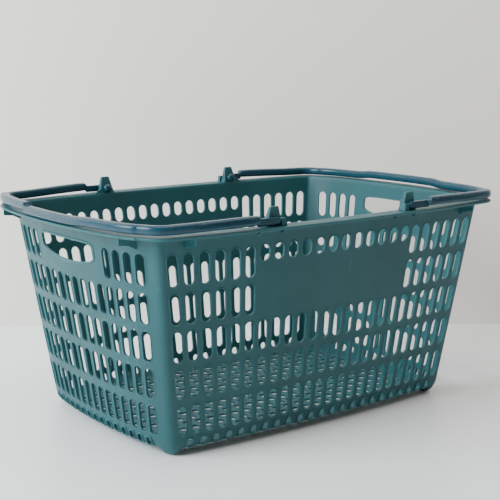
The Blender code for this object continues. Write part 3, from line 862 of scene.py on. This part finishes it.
def prism(outline, near_at, far_at):
    """Closed solid between two planes across Y; near_at and far_at give each plane's y at a height."""
    points = [Vector((x, near_at(z), z)) for x, z in outline]
    points += [Vector((x, far_at(z), z)) for x, z in outline]
    return points, slab_faces(len(outline))


def placed(points, side, face):
    """Moves points about a hinge at the origin to the hinge on this side and face."""
    return [Vector(((PIVOT_X + p.x) * side, p.y * face, p.z)) for p in points]


def hinge_name(stem, side, face, tail=""):
    return f"{stem}_{FACE_NAMES[face]}_{SIDE_NAMES[side]}{tail}"


def post_inner(z):
    return blend(POST_INNER_BASE, POST_INNER_TOP, (z - HEIGHT) / (POST_TOP - HEIGHT))


def make_post(side, face):
    """Leaning plate with sloped flanks and a foot rib, bored for the pin."""
    flank = [(10.2, HEIGHT), (8.4, PIVOT_Z), (6.4, 250.0), (5.0, POST_TOP)]
    outline = [(-x, z) for x, z in flank] + flank[::-1]
    points, faces = prism(outline, post_inner, lambda z: POST_OUTER)
    mesh = as_mesh("post", placed(points, side, face), faces)
    name = hinge_name("hinge_post", side, face)
    post = add_piece(name + "_body", mesh, TUB, "tub", "tub_plastic", name)
    bevelled(post, 0.7, 3)
    bore = bpy.data.meshes.new("bore")
    work = bmesh.new()
    bmesh.ops.create_cone(work, cap_ends=True, segments=PIN_STEPS, radius1=BORE_RADIUS * MM,
                          radius2=BORE_RADIUS * MM, depth=30 * MM, matrix=Matrix.Rotation(pi / 2, 4, "X"))
    bmesh.ops.translate(work, verts=work.verts,
                        vec=(PIVOT_X * side * MM, POST_OUTER * face * MM, PIVOT_Z * MM))
    work.to_mesh(bore)
    work.free()
    cutter = bpy.data.objects.new(name + "_bore", bore)
    bpy.context.scene.collection.objects.link(cutter)
    cut = post.modifiers.new("bore", "BOOLEAN")
    cut.object = cutter
    bpy.context.view_layer.update()
    finished = bpy.data.meshes.new_from_object(post.evaluated_get(bpy.context.evaluated_depsgraph_get()))
    post.modifiers.clear()
    post.data = finished
    bpy.data.objects.remove(cutter, do_unlink=True)
    rib_outline = [(8.0, HEIGHT), (8.0, 242.4), (9.6, 241.2), (16.5, 236.9), (16.5, HEIGHT)]
    points, faces = prism(rib_outline, lambda z: POST_INNER_BASE + 0.4, lambda z: POST_INNER_BASE + 2.6)
    mesh = as_mesh("rib", placed(points, side, face), faces)
    bevelled(add_piece(name + "_foot_rib", mesh, TUB, "tub", "tub_plastic"), 0.5)


def make_lug(side, face):
    outline = [(-11.9, HEIGHT), (-11.1, 243.3), (-10.4, LUG_TOP), (-6.0, LUG_TOP), (-5.3, 243.4),
               (-5.0, HEIGHT)]
    points, faces = prism(outline, lambda z: POST_OUTER + 0.1, lambda z: LUG_OUTER - LUG_LEAN * (z - HEIGHT))
    mesh = as_mesh("lug", placed(points, side, face), faces)
    name = hinge_name("stop_lug", side, face)
    bevelled(add_piece(name + "_body", mesh, TUB, "tub", "tub_plastic", name), 0.6, 3)


def make_pin(side, face):
    """Turned pin with a domed head on the inside of its post."""
    reach = PADDLE_Y - PADDLE_WIDTH / 2
    head = POST_INNER_BASE - 0.3
    shank = PIN_RADIUS - PIN_GAP
    profile_points = [(0.0, reach), (shank, reach), (shank, head), (HEAD_RADIUS - 0.3, head)]
    for k in range(9):
        angle = pi / 2 * k / 8
        profile_points.append((HEAD_RADIUS * cos(angle), head - 0.4 - (HEAD_DEPTH - 0.4) * sin(angle)))
    profile_points[-1] = (0.0, head - HEAD_DEPTH)
    skin = Skin()
    turns = [2 * pi * k / PIN_STEPS for k in range(PIN_STEPS)]
    skin.tube([[Vector((radius * cos(a), y, radius * sin(a) + PIVOT_Z)) for a in turns]
               for radius, y in profile_points])
    name = SIDE_NAMES[side]
    mesh = as_mesh("pin", placed(skin.points, side, face), skin.faces, 40.0)
    node = f"{name}_hinge_pin_{FACE_NAMES[face]}"
    add_piece(node + "_body", mesh, HANDLE, name + "_handle", "handle_plastic", node)


def rib_solid(outline, place, thickness):
    """Upright plate: place turns a distance from the middle, a shift sideways and a height into a point."""
    points = [place(reach, shift, z) for shift in (-thickness / 2, thickness / 2) for reach, z in outline]
    return points, slab_faces(len(outline))


def make_gussets(side, face):
    """Pair of small thin ribs under the flange, below the post."""
    top, bottom = RIB_TOP, RIB_TOP - HINGE_GUSSET_DROP
    for number, spread in enumerate((-HINGE_GUSSET_SPREAD, HINGE_GUSSET_SPREAD), 1):
        x = PIVOT_X * side + spread

        def on_wall(reach, shift, z):
            return Vector((x + shift, reach * face, z))

        upper, lower = (long_side(x, z, 0.0).y - 0.6 for z in (top, bottom))
        outline = [(upper, top), (upper + 9.6, top), (upper + 8.6, top - 1.2), (lower, bottom)]
        points, faces = rib_solid(outline, on_wall, HINGE_GUSSET_THICK)
        name = hinge_name("rim_gusset", side, face, f"_{number}")
        bevelled(add_piece(name, as_mesh("gusset", points, faces), TUB, "tub", "tub_plastic"), 0.25)


def make_corner_gussets(side, face):
    """Deeper ribs beside each corner: one on the end wall and one on the long wall."""
    top = RIB_TOP
    drops = (top, top - 6.9, top - 8.1, top - 13.2)

    def on_end_wall(reach, shift, z):
        return Vector((reach * side, (CORNER_GUSSET_Y + shift) * face, z))

    def on_long_wall(reach, shift, z):
        return Vector(((CORNER_GUSSET_X + shift) * side, reach * face, z))

    ends = [end_side(CORNER_GUSSET_Y, z, 0.0).x for z in (top, drops[-1])]
    longs = [long_side(CORNER_GUSSET_X, z, 0.0).y for z in (top, drops[-1])]
    for wall, (root, foot), place in (("end", ends, on_end_wall), ("side", longs, on_long_wall)):
        outline = [(root - 0.7, top), (root + 17.9, top), (root + 17.9, drops[1]), (root + 7.0, drops[2]),
                   (foot - 0.7, drops[3])]
        points, faces = rib_solid(outline, place, CORNER_GUSSET_THICK)
        name = f"corner_gusset_{FACE_NAMES[face]}_{SIDE_NAMES[side]}_{wall}"
        mesh = as_mesh("corner_gusset", points, faces)
        bevelled(add_piece(name + "_rib", mesh, TUB, "tub", "tub_plastic", name), 0.3)


# ---------------------------------------------------------------- setting

def stage_material(name, colour, roughness, bump):
    material = bpy.data.materials.new(name)
    material.use_nodes = True
    nodes, links = material.node_tree.nodes, material.node_tree.links
    shader = nodes["Principled BSDF"]
    shader.inputs["Base Color"].default_value = colour
    shader.inputs["Roughness"].default_value = roughness
    if bump:
        texture = nodes.new("ShaderNodeTexNoise")
        texture.inputs["Scale"].default_value = 90.0
        relief = nodes.new("ShaderNodeBump")
        relief.inputs["Strength"].default_value = bump
        relief.inputs["Distance"].default_value = 0.002
        links.new(texture.outputs["Fac"], relief.inputs["Height"])
        links.new(relief.outputs["Normal"], shader.inputs["Normal"])
    return material


def make_stage():
    """Plain pale floor, and a plain pale wall square to the view."""
    floor = bpy.data.meshes.new("floor")
    floor.from_pydata([(-4, -4, 0), (4, -4, 0), (4, 4, 0), (-4, 4, 0)], [], [(0, 1, 2, 3)])
    ground = bpy.data.objects.new("stage_floor", floor)
    ground.data.materials.append(stage_material("pale_floor", (0.90, 0.90, 0.91, 1.0), 0.32, 0.0))
    wall = bpy.data.meshes.new("wall")
    wall.from_pydata([(-4, 0, 0), (4, 0, 0), (4, 0, 3), (-4, 0, 3)], [], [(0, 1, 2, 3)])
    backdrop = bpy.data.objects.new("stage_wall", wall)
    backdrop.data.materials.append(stage_material("pale_wall", (0.93, 0.865, 0.815, 1.0), 0.85, 0.25))
    backdrop.rotation_euler.z = -CAMERA_YAW
    ahead = Vector((sin(CAMERA_YAW), cos(CAMERA_YAW), 0.0))
    backdrop.location = Vector((CAMERA_PLACE[0], CAMERA_PLACE[1], 0.0)) + ahead * WALL_DISTANCE
    for thing in (ground, backdrop):
        bpy.context.scene.collection.objects.link(thing)


CAMERA_PLACE = (-0.7787, -1.0506, 0.4098)
CAMERA_YAW = radians(36.49)
CAMERA_PITCH = radians(-10.08)
CAMERA_ROLL = radians(-0.24)
CAMERA_LENS = 81.36
CAMERA_SHIFT = 0.0069
WALL_DISTANCE = 1.66


def make_camera():
    data = bpy.data.cameras.new("camera")
    data.lens = CAMERA_LENS
    data.sensor_width = 36.0
    data.shift_x = CAMERA_SHIFT
    camera = bpy.data.objects.new("camera", data)
    camera.location = CAMERA_PLACE
    turn = Matrix.Rotation(-CAMERA_YAW, 3, "Z") @ Matrix.Rotation(pi / 2 + CAMERA_PITCH, 3, "X")
    camera.rotation_euler = (turn @ Matrix.Rotation(CAMERA_ROLL, 3, "Z")).to_euler()
    bpy.context.scene.collection.objects.link(camera)
    bpy.context.scene.camera = camera


def area_light(name, place, target, size, power, colour):
    data = bpy.data.lights.new(name, "AREA")
    data.shape = "RECTANGLE"
    data.size, data.size_y = size
    data.energy = power
    data.color = colour
    light = bpy.data.objects.new(name, data)
    light.location = place
    light.rotation_euler = (Vector(target) - Vector(place)).to_track_quat("-Z", "Y").to_euler()
    bpy.context.scene.collection.objects.link(light)


def make_light():
    """Large soft window light from the left, with a weak even fill."""
    area_light("window", (-2.3, 0.45, 1.35), (0.0, 0.0, 0.15), (1.6, 1.5), 132.0, (0.86, 0.96, 1.0))
    area_light("ceiling", (0.3, -0.2, 2.6), (0.0, 0.0, 0.0), (2.4, 2.4), 52.0, (1.0, 0.98, 0.95))
    world = bpy.data.worlds.new("room")
    world.use_nodes = True
    background = world.node_tree.nodes["Background"]
    background.inputs["Color"].default_value = (1.0, 0.96, 0.89, 1.0)
    background.inputs["Strength"].default_value = 0.28
    bpy.context.scene.world = world


# ---------------------------------------------------------------- the whole basket

make_camera()
make_light()
make_stage()

tub_skin = make_tub()
FACES = ("front", "back")
SIDES = ("left", "right")
AT_CORNERS = ("corner", "foot", "rim_corner")
ROUND_HAND_HOLE = ("lintel", "sill", "jamb_front", "jamb_back")
tub_nodes = ["floor_grid"] + [f"{face}_wall" for face in FACES] + [f"{side}_end_wall" for side in SIDES]
tub_nodes += [f"{stem}_{face}_{side}" for stem in AT_CORNERS for face in FACES for side in SIDES]
tub_nodes += [f"rim_{part}" for part in FACES + SIDES]
tub_nodes += [f"{side}_hand_hole_{part}" for side in SIDES for part in ROUND_HAND_HOLE]
tub_mesh = as_mesh("tub_shell", tub_skin.points, tub_skin.faces)
add_piece("tub_shell", tub_mesh, TUB, "tub", "tub_plastic", *tub_nodes)

for side in (LEFT, RIGHT):
    make_handle(side)
    for face in (FRONT, BACK):
        make_post(side, face)
        make_lug(side, face)
        make_pin(side, face)
        make_gussets(side, face)
        make_corner_gussets(side, face)
